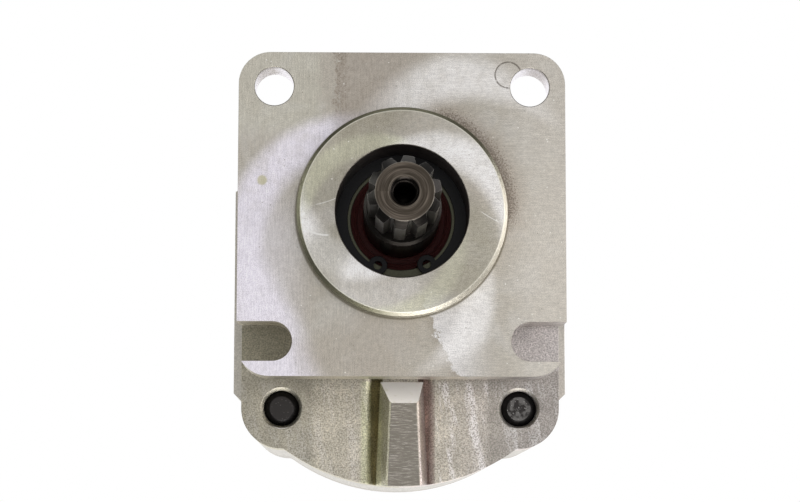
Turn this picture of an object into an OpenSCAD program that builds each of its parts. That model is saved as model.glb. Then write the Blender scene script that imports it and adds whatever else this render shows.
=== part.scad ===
// External gear pump with a square flange, a round pilot and a splined shaft end.
// The origin is on the drive shaft axis at the mounting face. The shaft end points to -Y,
// the casing lies on +Y, and the driven gear lies below the drive gear, on -Z.

/* [Mounting flange] */
// Width of the flange plate, along X
flange_w = 92; // [90:0.5:94]
// Height of the flange plate, along Z
flange_h = 91.5; // [90:0.5:93]
// Thickness of the flange plate
flange_t = 11.5; // [9:0.5:12.5]
// Corner radius of the flange plate
flange_corner_r = 9; // [6:0.5:11]
// Distance between mounting hole centres, the same both ways
mount_square = 72; // [71:0.5:73]
// Diameter of the two upper holes and width of the two lower slots
mount_hole_d = 11; // [9:0.5:11]

/* [Pilot and seal bore] */
// Diameter of the locating pilot
pilot_d = 58.8; // [56:0.2:62]
// Height of the pilot above the mounting face
pilot_h = 5; // [4:0.5:8]
// Diameter of the bore that holds the shaft seal
seal_bore_d = 37; // [36.6:0.1:37.4]

/* [Casing] */
// Width of the covers and of the pump body without its port pads
body_w = 91; // [90:0.5:94]
// Radius of the large arc at the top and the bottom of the casing
body_arc_r = 57; // [56.5:0.1:58.5]
// Gap behind the flange plate, room for the heads of the mounting bolts
flange_gap = 10; // [8:0.5:11]
// Thickness of the front cover block that the body bolts to
block_t = 13; // [12:0.5:18]
// Length of the pump body
body_l = 52; // [50:1:60]
// Thickness of the rear cover
rear_cover_t = 18.5; // [16:0.5:22]
// Width across the two port pads
pad_w = 96.8; // [95:0.2:99]
// Height of the port pads
pad_h = 59.4; // [54:0.2:60]

/* [Gears] */
// Number of teeth on each gear
gear_teeth = 10;
// Gear module, which sets the distance between the two axes
gear_module = 3.75; // [3.7:0.05:3.75]
// Pressure angle of the gear teeth
pressure_angle = 27; // [26:0.5:28]
// Width of the gears
gear_w = 19.8; // [16:0.2:22]
// Tooth thinning on each flank, for backlash
flank_relief = 0.12; // [0.08:0.02:0.2]

/* [Drive shaft] */
// Diameter of the shaft journals
journal_d = 21.5; // [21:0.1:21.6]
// Distance from the mounting face to the tip of the shaft
shaft_reach = 41.5; // [36:0.5:46]
// Outside diameter of the spline
spline_d = 19.7; // [19:0.1:20.4]
// Root diameter of the spline
spline_root_d = 15.7; // [15.4:0.1:16.4]
// Number of spline teeth
spline_teeth = 10;
// Length of the splined part
spline_l = 26; // [20:0.5:28]
// Core diameter of the tapped centre hole
centre_hole_d = 6.8; // [5:0.1:8]

/* [Ports] */
// Core diameter of the suction port thread
inlet_d = 24.1; // [20:0.1:26]
// Core diameter of the delivery port thread
outlet_d = 18.6; // [16:0.1:22]
// Depth of the port threads
port_thread_l = 18; // [14:1:20]
// Diameter of the passages from the ports to the gears
passage_d = 15; // [12:1:18]

/* [Fasteners] */
// Diameter of the four casing bolts
bolt_d = 10; // [8:1:10]
// Clearance hole for the casing bolts
bolt_hole_d = 11; // [10.5:0.1:11.5]
// Length of the casing bolts under the head
bolt_l = 85; // [83:0.5:85.5]
// Distance between casing bolts across the pump
bolt_x = 68; // [67:0.5:69]
// Distance between casing bolts from top to bottom
bolt_z = 69.4; // [69:0.2:70.4]
// Diameter of the dowel pins
dowel_d = 7; // [6:0.5:8]

/* [Hidden] */
$fn = 96;

// Gear geometry, all radii
pitch_r = gear_module * gear_teeth / 2;
tip_r = pitch_r + gear_module;
root_r = pitch_r - 1.25 * gear_module;
base_r = pitch_r * cos(pressure_angle);
axis_gap = 2 * pitch_r;
mid_z = -axis_gap / 2;

// Stations along Y
block_y = flange_t + flange_gap;
body_y = block_y + block_t;
rear_y = body_y + body_l;
end_y = rear_y + rear_cover_t;
gear_y = body_y + body_l / 2;

// Running clearances
axial_play = 0.1;
tip_play = 0.06;
journal_play = 0.05;

// Bearing blocks and bushes
bearing_l = (body_l - gear_w) / 2 - axial_play;
bearing_r = tip_r;
bush_r = journal_d / 2 + journal_play;
bush_wall = 1.5;
relief_deep = 1.2;

// Three-shaped pressure seal and its backup ring, as radii about each bore
seal_groove = 2.6;
backup_t = 0.8;
seal_inner_r = 14.9;
seal_outer_r = 18.3;

// Casing seal that follows the figure-eight bore
section_r = 1.3;
section_path_r = tip_r + 3.2;

// Shaft seal and retaining ring
seal_bore_r = seal_bore_d / 2;
ring_t = 1.5;
ring_y = 13;
ring_groove_r = seal_bore_r + 1;
ring_inner_r = 15.3;
ring_turn = 1.6;
lug_angle = 28.2;
lug_r = 14.8;
lug_size = 2.7;
seal_y = ring_y + ring_t + 0.1;
seal_l = 7;
seal_window_r = 14.4;
drain_r = 13;

// Rib on the front cover and the grooves beside it
rib_left_base = 5.7;
rib_right_base = 6.6;
rib_left_crest = 2.6;
rib_right_crest = 4.5;
rib_lean = 2.4;
rib_edge = 0.7;
rib_h = 6.5;
rib_crest_y = block_y - rib_h;
rib_bevel = 6.4;
rib_bottom = mid_z - body_arc_r;
bevel_z = -flange_h / 2 - 0.15;
groove_inner = 5;
groove_outer = 10.7;
groove_round = 3;
groove_slope = 50;
groove_top_z = -37;
groove_floor_y = block_y + 5.2;

dowel_at = [[-33, -2], [33, 2 - axis_gap]];
dowel_l = 15;
washer_t = 2;
head_t = 6.4;
head_af = 16;

cast_grey = [0.72, 0.71, 0.68];
block_grey = [0.62, 0.62, 0.60];
body_grey = [0.80, 0.80, 0.79];
steel = [0.45, 0.42, 0.39];
black_steel = [0.12, 0.12, 0.12];
bronze = [0.66, 0.50, 0.28];
rubber_black = [0.06, 0.06, 0.06];
rubber_red = [0.42, 0.10, 0.08];
ptfe = [0.88, 0.87, 0.82];
spring_steel = [0.70, 0.70, 0.68];
seal_metal = [0.62, 0.62, 0.55];

// Extrudes a profile drawn in X and Z from y0 to y1.
module slab(y0, y1) {
    translate([0, y1, 0]) rotate([90, 0, 0]) linear_extrude(y1 - y0) children();
}

// Turns a profile of [radius, y] points about the drive shaft axis.
module turned(points) {
    rotate([-90, 0, 0]) rotate_extrude() polygon(points);
}

// Places children at the four casing bolt centres.
module at_bolts() {
    for (sx = [-1, 1], sz = [-1, 1])
        translate([sx * bolt_x / 2, 0, mid_z + sz * bolt_z / 2]) children();
}

module at_dowels() {
    for (p = dowel_at) translate([p[0], 0, p[1]]) children();
}

module flange_outline() {
    x = flange_w / 2;
    z = flange_h / 2;
    r = flange_corner_r;
    square([2 * (x - r), 2 * z], center = true);
    square([2 * x, 2 * (z - r)], center = true);
    for (sx = [-1, 1], sz = [-1, 1]) translate([sx * (x - r), sz * (z - r)]) circle(r);
}

// Outline shared by both covers and the body: two arcs, straight sides and four bolt lobes.
module casing_outline() {
    lobe_r = (body_w - bolt_x) / 2;
    intersection() {
        translate([0, mid_z]) circle(body_arc_r);
        translate([0, mid_z]) square([body_w - 2, 2 * body_arc_r + 2], center = true);
    }
    translate([0, mid_z]) square([body_w, bolt_z], center = true);
    for (sx = [-1, 1], sz = [-1, 1])
        translate([sx * bolt_x / 2, mid_z + sz * bolt_z / 2]) circle(lobe_r);
}

// The port pads stand proud of both sides, with a chamfer at their ends.
module pad_outline() {
    x = pad_w / 2;
    z = pad_h / 2;
    c = x - body_w / 2;
    translate([0, mid_z])
        polygon([
            [-x, -z], [-x + c, -z - c], [x - c, -z - c], [x, -z],
            [x, z], [x - c, z + c / 2], [-x + c, z + c / 2], [-x, z]
        ]);
}

// Two overlapping circles about the gear axes.
module figure_eight(r) {
    for (z = [0, -axis_gap]) translate([0, z]) circle(r);
}

// Rib below the flange: both flanks lean out towards the bottom, and its top is bevelled.
module cover_rib() {
    intersection() {
        rib_side(-1, rib_left_base, rib_left_crest);
        rib_side(1, rib_right_base, rib_right_crest);
        rotate([90, 0, 90]) linear_extrude(40, center = true)
            polygon([
                [groove_floor_y, bevel_z], [block_y, bevel_z], [rib_crest_y, bevel_z - rib_bevel],
                [rib_crest_y, rib_bottom], [groove_floor_y, rib_bottom]
            ]);
        slab(rib_crest_y, body_y) casing_outline();
    }
}

// Everything on the inner side of one flank of the rib, which slopes from crest to base.
module rib_side(side, base, crest) {
    far = -side * 20;
    translate([0, 0, bevel_z]) rotate([0, -side * rib_lean, 0]) translate([0, 0, rib_bottom])
        linear_extrude(-rib_bottom + 2) polygon([
            [far, groove_floor_y], [side * base, groove_floor_y], [side * base, block_y],
            [side * (crest + rib_edge / 2), rib_crest_y + rib_edge],
            [side * (crest - rib_edge / 2), rib_crest_y], [far, rib_crest_y]
        ]);
}

// Groove beside the rib: a rounded outer shoulder, then a slope down to the foot of the rib.
// The shoulder stands a little into the cut, so that no face meets another at a tangent.
module rib_groove(side) {
    proud = 0.1;
    inside_r = groove_round - 2 * proud;
    centre_y = block_y + groove_round - proud;
    shoulder_x = groove_outer - inside_r * sin(groove_slope);
    shoulder_y = centre_y - inside_r * cos(groove_slope);
    inner_y = shoulder_y + (shoulder_x - groove_inner) * tan(groove_slope);
    translate([0, 0, rib_bottom - 1]) linear_extrude(groove_top_z - rib_bottom + 1) difference() {
        polygon([
            [side * groove_inner, block_y - 1], [side * (groove_outer - proud), block_y - 1],
            [side * (groove_outer - proud), block_y + proud], [side * shoulder_x, shoulder_y],
            [side * groove_inner, inner_y]
        ]);
        translate([side * groove_outer, centre_y]) circle(groove_round);
    }
}

module front_cover() {
    color(cast_grey) difference() {
        union() {
            slab(0, flange_t) flange_outline();
            turned([
                [0, -pilot_h], [pilot_d / 2 - 1, -pilot_h], [pilot_d / 2, -pilot_h + 1],
                [pilot_d / 2, 1], [0, 1]
            ]);
            slab(flange_t - 1, block_y + 1) circle(34);
            difference() {
                slab(block_y, body_y) casing_outline();
                for (s = [-1, 1]) rib_groove(s);
            }
            cover_rib();
        }
        seal_bore();
        for (s = [-1, 1]) translate([s * mount_square / 2, 0, 0]) {
            translate([0, 0, mount_square / 2]) flange_hole();
            translate([0, 0, -mount_square / 2]) flange_slot(s);
        }
        at_bolts() tapped_hole();
        at_dowels() slab(body_y - dowel_l / 2 - 0.5, body_y + 1) circle(d = dowel_d);
    }
}

module seal_bore() {
    shoulder_y = seal_y + seal_l + 0.2;
    turned([
        [0, -pilot_h - 1], [seal_bore_r + 1.3, -pilot_h - 1], [seal_bore_r, -pilot_h + 0.3],
        [seal_bore_r, ring_y - 0.05], [ring_groove_r, ring_y - 0.05],
        [ring_groove_r, ring_y + ring_t + 0.05], [seal_bore_r, ring_y + ring_t + 0.05],
        [seal_bore_r, shoulder_y], [drain_r, shoulder_y], [drain_r, body_y + 1], [0, body_y + 1]
    ]);
}

module flange_hole() {
    r = mount_hole_d / 2;
    turned([
        [0, -1], [r + 1.2, -1], [r, 0.2], [r, flange_t - 0.2], [r + 1.2, flange_t + 1],
        [0, flange_t + 1]
    ]);
}

// Open slot: a round inner end that runs out through the side of the flange.
module flange_slot(side) {
    slab(-1, flange_t + 0.01) {
        circle(d = mount_hole_d);
        translate([side * flange_w / 4, 0]) square([flange_w / 2, mount_hole_d], center = true);
    }
}

// Tapped hole through the block, countersunk at its front face.
module tapped_hole() {
    r = bolt_d / 2 + 0.05;
    turned([
        [0, block_y - 1], [r + 1.9, block_y - 1], [r, block_y + 0.9], [r, body_y + 1],
        [0, body_y + 1]
    ]);
}

module pump_body() {
    color(body_grey) difference() {
        slab(body_y, rear_y) {
            casing_outline();
            pad_outline();
        }
        slab(body_y - 1, rear_y + 1) figure_eight(tip_r + tip_play);
        port(1, inlet_d);
        port(-1, outlet_d);
        at_bolts() slab(body_y - 1, rear_y + 1) circle(d = bolt_hole_d);
        at_dowels() {
            slab(body_y - 1, body_y + dowel_l / 2 + 0.5) circle(d = dowel_d);
            slab(rear_y - dowel_l / 2 - 0.5, rear_y + 1) circle(d = dowel_d);
        }
        slab(body_y - 1, body_y + 2 * section_r + 0.05) section_groove();
        slab(rear_y - 2 * section_r - 0.05, rear_y + 1) section_groove();
    }
}

// A port opens through its pad: a threaded mouth, then a passage to the gears.
module port(side, mouth_d) {
    translate([side * (pad_w / 2 + 1), gear_y, mid_z]) rotate([0, -side * 90, 0]) {
        cylinder(d = mouth_d, h = port_thread_l + 1);
        cylinder(d1 = mouth_d + 5, d2 = mouth_d, h = 2.5);
        cylinder(d = passage_d, h = pad_w / 2 - 5);
    }
}

module section_groove() {
    difference() {
        figure_eight(section_path_r + section_r + 0.1);
        figure_eight(section_path_r - section_r - 0.1);
    }
}

module rear_cover() {
    color(cast_grey) difference() {
        slab(rear_y, end_y) casing_outline();
        at_bolts() slab(rear_y - 1, end_y + 1) circle(d = bolt_hole_d);
        at_dowels() slab(rear_y - 1, rear_y + dowel_l / 2 + 0.5) circle(d = dowel_d);
    }
}

// Involute function, in degrees.
function inv(a) = tan(a) * 180 / PI - a;
// Half of a tooth's angle at radius r.
function half_tooth(r) = 90 / gear_teeth - flank_relief / pitch_r * 180 / PI
    + inv(pressure_angle) - inv(acos(min(1, base_r / r)));
function polar(r, a) = [r * cos(a), r * sin(a)];

module gear_outline() {
    steps = 7;
    flank = [for (i = [0:steps]) base_r + (tip_r - base_r) * i / steps];
    circle(root_r);
    for (k = [0:gear_teeth - 1]) rotate(k * 360 / gear_teeth)
        polygon(concat(
            [polar(root_r - 1, -half_tooth(base_r))],
            [for (r = flank) polar(r, -half_tooth(r))],
            [for (i = [steps:-1:0]) polar(flank[i], half_tooth(flank[i]))],
            [polar(root_r - 1, half_tooth(base_r))]
        ));
}

// One gear with the journals on both sides of it, on the drive axis.
module gear_on_shaft(front_y, turn) {
    slab(gear_y - gear_w / 2, gear_y + gear_w / 2) rotate(turn) gear_outline();
    c = 0.8;
    r = journal_d / 2;
    turned([
        [0, front_y], [r - c, front_y], [r, front_y + c], [r, rear_y - 0.8 - c],
        [r - c, rear_y - 0.8], [0, rear_y - 0.8]
    ]);
}

module spline_outline() {
    tooth_root_half = 2.0;
    tooth_tip_half = 1.3;
    intersection() {
        circle(d = spline_d);
        union() {
            circle(d = spline_root_d);
            for (k = [0:spline_teeth - 1]) rotate(-96.6 + k * 360 / spline_teeth)
                polygon([
                    [spline_root_d / 2 - 1, -tooth_root_half], [spline_root_d / 2, -tooth_root_half],
                    [spline_d / 2 + 0.5, -tooth_tip_half], [spline_d / 2 + 0.5, tooth_tip_half],
                    [spline_root_d / 2, tooth_root_half], [spline_root_d / 2 - 1, tooth_root_half]
                ]);
        }
    }
}

module drive_gear_shaft() {
    tip = -shaft_reach;
    spline_end = tip + spline_l;
    root = spline_root_d / 2;
    major = spline_d / 2;
    shoulder = spline_end + 3;
    hole_r = centre_hole_d / 2;
    color(steel) difference() {
        union() {
            intersection() {
                slab(tip, spline_end) spline_outline();
                turned([
                    [0, tip], [root, tip], [major + 0.1, tip + major + 0.1 - root],
                    [major + 0.1, spline_end - 1.2], [root, spline_end], [0, spline_end]
                ]);
            }
            turned([[0, spline_end - 1], [root - 0.3, spline_end - 1],
                [root - 0.3, shoulder + 0.5], [0, shoulder + 0.5]]);
            gear_on_shaft(shoulder, 90);
        }
        turned([
            [0, tip - 1], [hole_r + 1.5, tip - 1], [hole_r, tip + 0.5], [hole_r, tip + 20],
            [0, tip + 20 + hole_r * 0.6]
        ]);
    }
}

module driven_gear_shaft() {
    color(steel) translate([0, 0, -axis_gap]) gear_on_shaft(body_y + 0.8, 90 + 180 / gear_teeth);
}

// Bearing block drawn with its seal face at y = 0 and its gear face at y = bearing_l.
module bearing_block() {
    difference() {
        slab(0, bearing_l) figure_eight(bearing_r);
        slab(-1, bearing_l + 1) figure_eight(bush_r + bush_wall);
        slab(-1, seal_groove) three_outline(seal_inner_r - 0.1, seal_outer_r + 0.1);
        for (s = [-1, 1])
            translate([s * 7, bearing_l, mid_z]) cube([7, 2 * relief_deep, 9], center = true);
    }
}

// Outline like the figure 3: half a ring about each axis, and a leg between them that stops
// short of the point where the two gear bores meet.
module three_outline(r0, r1) {
    leg = sqrt(pow(bearing_r, 2) - pow(axis_gap / 2, 2)) - 1;
    intersection() {
        difference() {
            figure_eight(r1);
            figure_eight(r0);
        }
        translate([0, mid_z - 60]) square([60, 120]);
    }
    translate([0, mid_z - (r1 - r0) / 2]) square([leg, r1 - r0]);
}

module front_bearing_block() {
    color(block_grey) translate([0, body_y, 0]) bearing_block();
}

module rear_bearing_block() {
    color(block_grey) translate([0, rear_y, 0]) mirror([0, 1, 0]) bearing_block();
}

// Thin bearing bush on the drive axis, with its outer end at y = y0.
module bush(y0, y1) {
    slab(y0, y1) difference() {
        circle(bush_r + bush_wall);
        circle(bush_r);
    }
}

module front_bush(z) {
    color(bronze) translate([0, 0, z]) bush(body_y + 0.5, body_y + bearing_l - 0.3);
}

module rear_bush(z) {
    color(bronze) translate([0, 0, z]) bush(rear_y - bearing_l + 0.3, rear_y - 0.5);
}

// Rubber seal at the bottom of the groove.
module pressure_seal() {
    slab(backup_t + 0.05, seal_groove - 0.05) three_outline(seal_inner_r, seal_outer_r);
}

// Plastic strip of the same outline, between the rubber and the cover.
module backup_ring() {
    slab(0.02, backup_t) three_outline(seal_inner_r, seal_outer_r);
}

module front_seat() {
    translate([0, body_y, 0]) children();
}

module rear_seat() {
    translate([0, rear_y, 0]) mirror([0, 1, 0]) children();
}

// Round-section ring along the figure-eight path, with its centre plane at y.
module section_ring(y) {
    for (side = [1, -1]) intersection() {
        translate([0, y, side > 0 ? 0 : -axis_gap]) rotate([-90, 0, 0])
            rotate_extrude() translate([section_path_r, 0]) circle(section_r, $fn = 24);
        translate([-50, y - 5, side > 0 ? mid_z : mid_z - 100]) cube([100, 10, 100]);
    }
}

module dowels(y) {
    color(steel) at_dowels() slab(y - dowel_l / 2, y + dowel_l / 2) circle(d = dowel_d);
}

module cover_bolts() {
    under_head = end_y + washer_t;
    tip = under_head - bolt_l;
    r = bolt_d / 2;
    color(black_steel) at_bolts() {
        turned([[0, tip], [r - 1.6, tip], [r, tip + 1.6], [r, under_head + 1], [0, under_head + 1]]);
        difference() {
            slab(under_head, under_head + head_t) circle(r = head_af / sqrt(3), $fn = 6);
            slab(under_head + head_t - 0.4, under_head + head_t + 1) difference() {
                circle(r = head_af);
                circle(d = head_af - 0.6);
            }
        }
    }
}

module bolt_washers() {
    color(steel) at_bolts() slab(end_y, end_y + washer_t) difference() {
        circle(d = 20);
        circle(d = bolt_d + 0.5);
    }
}

// Metal case: an outer wall pressed into the bore and a lip-side window at the front.
module shaft_seal_case() {
    wall = 1.1;
    color(seal_metal) turned([
        [seal_window_r, seal_y], [seal_bore_r, seal_y], [seal_bore_r, seal_y + seal_l],
        [seal_bore_r - wall, seal_y + seal_l], [seal_bore_r - wall, seal_y + wall],
        [seal_window_r, seal_y + wall]
    ]);
}

// Rubber lip: it fills the case and reaches in to the journal, with a dust lip in front.
module shaft_seal_lip() {
    back = seal_y + seal_l;
    lip_r = journal_d / 2 + 0.05;
    color(rubber_red) turned([
        [seal_window_r - 0.05, seal_y + 0.2], [seal_window_r - 0.05, seal_y + 1.15],
        [seal_bore_r - 1.15, seal_y + 1.15], [seal_bore_r - 1.15, back - 0.6],
        [seal_bore_r - 2.4, back - 0.6], [seal_bore_r - 2.4, seal_y + 2.6],
        [lip_r + 2.4, seal_y + 3.0], [lip_r + 1.9, seal_y + 4.6], [lip_r + 1.2, seal_y + 5.0],
        [lip_r + 1.9, back - 0.8], [lip_r + 0.8, back - 0.8], [lip_r, seal_y + 4.8],
        [lip_r + 0.7, seal_y + 3.6], [lip_r + 0.6, seal_y + 2.0], [lip_r, seal_y + 1.0],
        [lip_r + 0.5, seal_y + 0.7], [lip_r + 1.6, seal_y + 1.2], [lip_r + 1.9, seal_y + 0.7],
        [lip_r + 2.3, seal_y + 0.4], [lip_r + 2.7, seal_y + 0.7]
    ]);
}

module garter_spring() {
    color(spring_steel) translate([0, seal_y + 5.1, 0]) rotate([-90, 0, 0])
        rotate_extrude() translate([journal_d / 2 + 2.3, 0]) circle(0.55, $fn = 24);
}

module retaining_ring() {
    color(black_steel) slab(ring_y, ring_y + ring_t) rotate(ring_turn) difference() {
        union() {
            difference() {
                circle(ring_groove_r - 0.15);
                circle(ring_inner_r);
                polygon([[0, 0], polar(40, -90 - lug_angle + 8), polar(40, -90 + lug_angle - 8)]);
            }
            for (s = [-1, 1]) rotate(s * lug_angle) translate([0, -lug_r]) circle(lug_size);
        }
        for (s = [-1, 1]) rotate(s * lug_angle) translate([0, -lug_r]) circle(1.2);
    }
}

front_cover();
pump_body();
rear_cover();
drive_gear_shaft();
driven_gear_shaft();
front_bearing_block();
rear_bearing_block();
front_bush(0);  // drive_front_bush
rear_bush(0);  // drive_rear_bush
front_bush(-axis_gap);  // driven_front_bush
rear_bush(-axis_gap);  // driven_rear_bush
color(rubber_black) front_seat() pressure_seal();  // front_pressure_seal
color(rubber_black) rear_seat() pressure_seal();  // rear_pressure_seal
color(ptfe) front_seat() backup_ring();  // front_backup_ring
color(ptfe) rear_seat() backup_ring();  // rear_backup_ring
color(rubber_black) section_ring(body_y + section_r);  // front_body_seal
color(rubber_black) section_ring(rear_y - section_r);  // rear_body_seal
dowels(body_y);  // front_dowels
dowels(rear_y);  // rear_dowels
cover_bolts();
bolt_washers();
shaft_seal_case();
shaft_seal_lip();
garter_spring();
retaining_ring();
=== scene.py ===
import math

import bpy
from mathutils import Matrix, Vector


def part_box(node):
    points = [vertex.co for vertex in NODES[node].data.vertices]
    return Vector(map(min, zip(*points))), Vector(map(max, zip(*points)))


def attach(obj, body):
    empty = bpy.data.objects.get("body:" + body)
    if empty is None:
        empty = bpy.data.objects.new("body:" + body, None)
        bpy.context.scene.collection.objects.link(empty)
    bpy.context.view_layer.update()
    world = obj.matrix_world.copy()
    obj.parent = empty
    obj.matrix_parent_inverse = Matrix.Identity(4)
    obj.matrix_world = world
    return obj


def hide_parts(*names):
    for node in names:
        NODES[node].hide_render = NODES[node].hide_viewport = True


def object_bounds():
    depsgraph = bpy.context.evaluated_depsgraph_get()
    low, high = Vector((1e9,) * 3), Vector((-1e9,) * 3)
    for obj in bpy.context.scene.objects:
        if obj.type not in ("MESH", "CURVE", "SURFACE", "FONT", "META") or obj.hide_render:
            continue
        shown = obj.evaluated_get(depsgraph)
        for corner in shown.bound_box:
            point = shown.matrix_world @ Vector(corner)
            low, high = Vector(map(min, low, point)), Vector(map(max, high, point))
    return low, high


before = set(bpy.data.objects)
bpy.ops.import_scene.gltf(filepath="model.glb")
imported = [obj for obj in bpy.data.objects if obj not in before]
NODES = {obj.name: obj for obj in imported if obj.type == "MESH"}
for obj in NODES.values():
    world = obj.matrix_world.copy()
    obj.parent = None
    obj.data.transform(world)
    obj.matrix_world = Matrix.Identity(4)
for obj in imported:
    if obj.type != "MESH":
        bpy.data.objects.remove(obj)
cad_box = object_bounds()
MM = 0.001


def box_mm(node):
    """The lowest and the highest corner of a node, as vectors in millimetres."""
    return [Vector(corner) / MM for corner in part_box(node)]


# ---------------------------------------------------------------- camera, lights and floor

CAMERA_PLACE = Vector((-11.8, -646.3, -90.4)) * MM
CAMERA_PITCH = math.radians(7.03)
CAMERA_YAW = math.radians(1.0)
CAMERA_ROLL = math.radians(0.1)
CAMERA_LENS = 104.9
SENSOR_WIDTH = 36
FLOOR_GAP = 24 * MM
FLOOR_SIZE = 4.0
# Brightness of the studio by direction along Y, from the camera's side to the backdrop.
STUDIO_STOPS = [(-1.0, 0.85), (-0.8, 0.75), (-0.35, 0.16), (-0.1, 0.16), (0.45, 1.15), (1.0, 1.15)]
SOFTBOXES = [
    # name, place and size in metres, power in watts, colour
    ("side_softbox", (1.15, -0.7, -0.1), (0.8, 0.8), 11, (1.0, 0.98, 0.98)),
    ("low_softbox", (0.1, -0.45, -1.15), (1.1, 0.8), 18, (1.0, 0.99, 0.98)),
    ("right_softbox", (1.25, 0.35, 0.35), (0.9, 0.9), 12, (1.0, 0.97, 0.97)),
    ("left_softbox", (-1.25, 0.35, 0.35), (0.9, 0.9), 12, (0.98, 1.0, 0.96)),
    ("top_softbox", (0.0, 0.45, 1.35), (1.0, 0.8), 7, (1.0, 1.0, 0.98)),
]


def aim(place, forward, roll=0.0):
    """The matrix of a camera or a lamp at place that looks along forward."""
    forward = forward.normalized()
    right = forward.cross(Vector((0, 0, 1))).normalized()
    up = right.cross(forward)
    turned_right = math.cos(roll) * right + math.sin(roll) * up
    turned_up = turned_right.cross(forward)
    turn = Matrix((turned_right, turned_up, -forward)).transposed().to_4x4()
    return Matrix.Translation(place) @ turn


def add_camera():
    """The camera at the photograph's angle."""
    camera = bpy.data.objects.new("camera", bpy.data.cameras.new("camera"))
    camera.data.lens = CAMERA_LENS
    camera.data.sensor_width = SENSOR_WIDTH
    camera.data.clip_start = 0.01
    forward = Vector((
        math.sin(CAMERA_YAW) * math.cos(CAMERA_PITCH),
        math.cos(CAMERA_YAW) * math.cos(CAMERA_PITCH),
        math.sin(CAMERA_PITCH),
    ))
    camera.matrix_world = aim(CAMERA_PLACE, forward, CAMERA_ROLL)
    bpy.context.collection.objects.link(camera)
    bpy.context.scene.camera = camera


def add_softbox(name, place, size, power, colour):
    """A rectangular area lamp at place that faces the frame's origin."""
    data = bpy.data.lights.new(name, "AREA")
    data.shape = "RECTANGLE"
    data.size, data.size_y = size
    data.energy = power
    data.color = colour
    lamp = bpy.data.objects.new(name, data)
    lamp.matrix_world = aim(Vector(place), -Vector(place))
    bpy.context.collection.objects.link(lamp)


def add_world():
    """A studio that is bright before and behind the part, and dim at its sides."""
    world = bpy.data.worlds.new("studio")
    world.use_nodes = True
    tree = world.node_tree
    tree.nodes.clear()
    make = tree.nodes.new
    link = tree.links.new
    split = make("ShaderNodeSeparateXYZ")
    link(make("ShaderNodeTexCoord").outputs["Generated"], split.inputs[0])
    along = make("ShaderNodeMapRange")
    for name, value in (("From Min", -1), ("From Max", 1), ("To Min", 0), ("To Max", 1)):
        along.inputs[name].default_value = value
    link(split.outputs["Y"], along.inputs["Value"])
    ramp = make("ShaderNodeValToRGB")
    ramp.color_ramp.interpolation = "EASE"
    stops = ramp.color_ramp.elements
    while len(stops) < len(STUDIO_STOPS):
        stops.new(0.5)
    for stop, (direction, strength) in zip(stops, STUDIO_STOPS):
        stop.position = (direction + 1) / 2
        stop.color = (strength, strength, strength, 1)
    link(along.outputs[0], ramp.inputs[0])
    studio = make("ShaderNodeBackground")
    link(ramp.outputs[0], studio.inputs["Color"])
    backdrop = make("ShaderNodeBackground")
    backdrop.inputs["Color"].default_value = (1, 1, 1, 1)
    mix = make("ShaderNodeMixShader")
    link(make("ShaderNodeLightPath").outputs["Is Camera Ray"], mix.inputs[0])
    link(studio.outputs[0], mix.inputs[1])
    link(backdrop.outputs[0], mix.inputs[2])
    link(mix.outputs[0], make("ShaderNodeOutputWorld").inputs[0])
    bpy.context.scene.world = world


def add_floor(finish):
    """A wide pale floor below the part and the camera. Only the camera sees it."""
    z = cad_box[0][2] - FLOOR_GAP
    half = FLOOR_SIZE / 2
    mesh = bpy.data.meshes.new("floor")
    corners = [(-half, -half, z), (half, -half, z), (half, half, z), (-half, half, z)]
    mesh.from_pydata(corners, [], [(0, 1, 2, 3)])
    mesh.materials.append(finish)
    floor = bpy.data.objects.new("floor", mesh)
    floor.visible_diffuse = False
    floor.visible_glossy = False
    floor.visible_shadow = False
    bpy.context.collection.objects.link(floor)


# ---------------------------------------------------------------- building materials


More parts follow.
